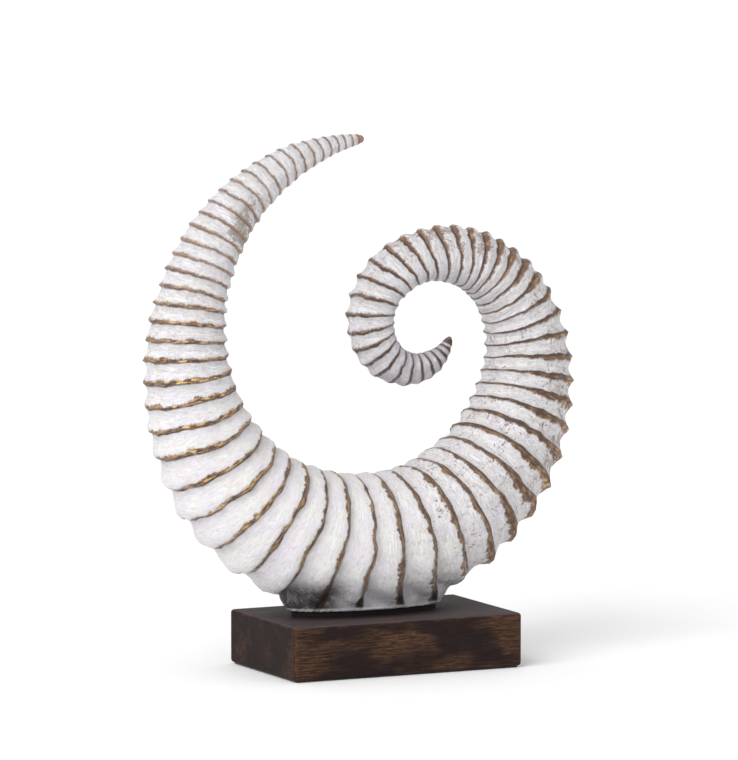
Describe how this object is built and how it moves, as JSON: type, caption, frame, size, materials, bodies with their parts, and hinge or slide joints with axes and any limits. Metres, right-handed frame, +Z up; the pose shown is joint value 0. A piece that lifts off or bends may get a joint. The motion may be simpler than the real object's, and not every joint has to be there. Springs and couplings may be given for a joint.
{
  "type": "horn sculpture on plinth",
  "caption": "Whitewashed ringed ram's-horn sculpture, plain arm sweeping to a tip and the other arm curled, standing on a dark wooden block plinth.",
  "frame": {"origin": "centre of the felt underside, on the surface that the sculpture stands on", "axes": "+Z up, +X along the plinth towards the curled arm, +Y towards the back of the plinth"},
  "size_m": [0.3431, 0.108, 0.3788],
  "materials": {
    "whitewashed_resin": "whitewash over bronze-gold ring crests, matt with glints",
    "core_wood": "plain sawn softwood",
    "steel_rod": "plain drawn rod",
    "black_stained_wood": "black stain, matt",
    "dark_stained_wood": "espresso stain with dry-brushed golden grain, satin",
    "felt": "black felt",
    "brass_insert": "turned",
    "plated_steel": "zinc plated"
  },
  "bodies": {
    "root": {"horn_casting": "whitewashed_resin", "mounting_core": "core_wood", "armature_rod_plain_arm": "steel_rod", "armature_rod_curled_arm": "steel_rod", "foot_spacer": "black_stained_wood", "plinth": "dark_stained_wood", "felt_underside": "felt", "threaded_insert_left": "brass_insert", "threaded_insert_right": "brass_insert", "mounting_screw_left": "plated_steel", "mounting_screw_right": "plated_steel", "washer_left": "plated_steel", "washer_right": "plated_steel"}
  },
  "joints": []
}
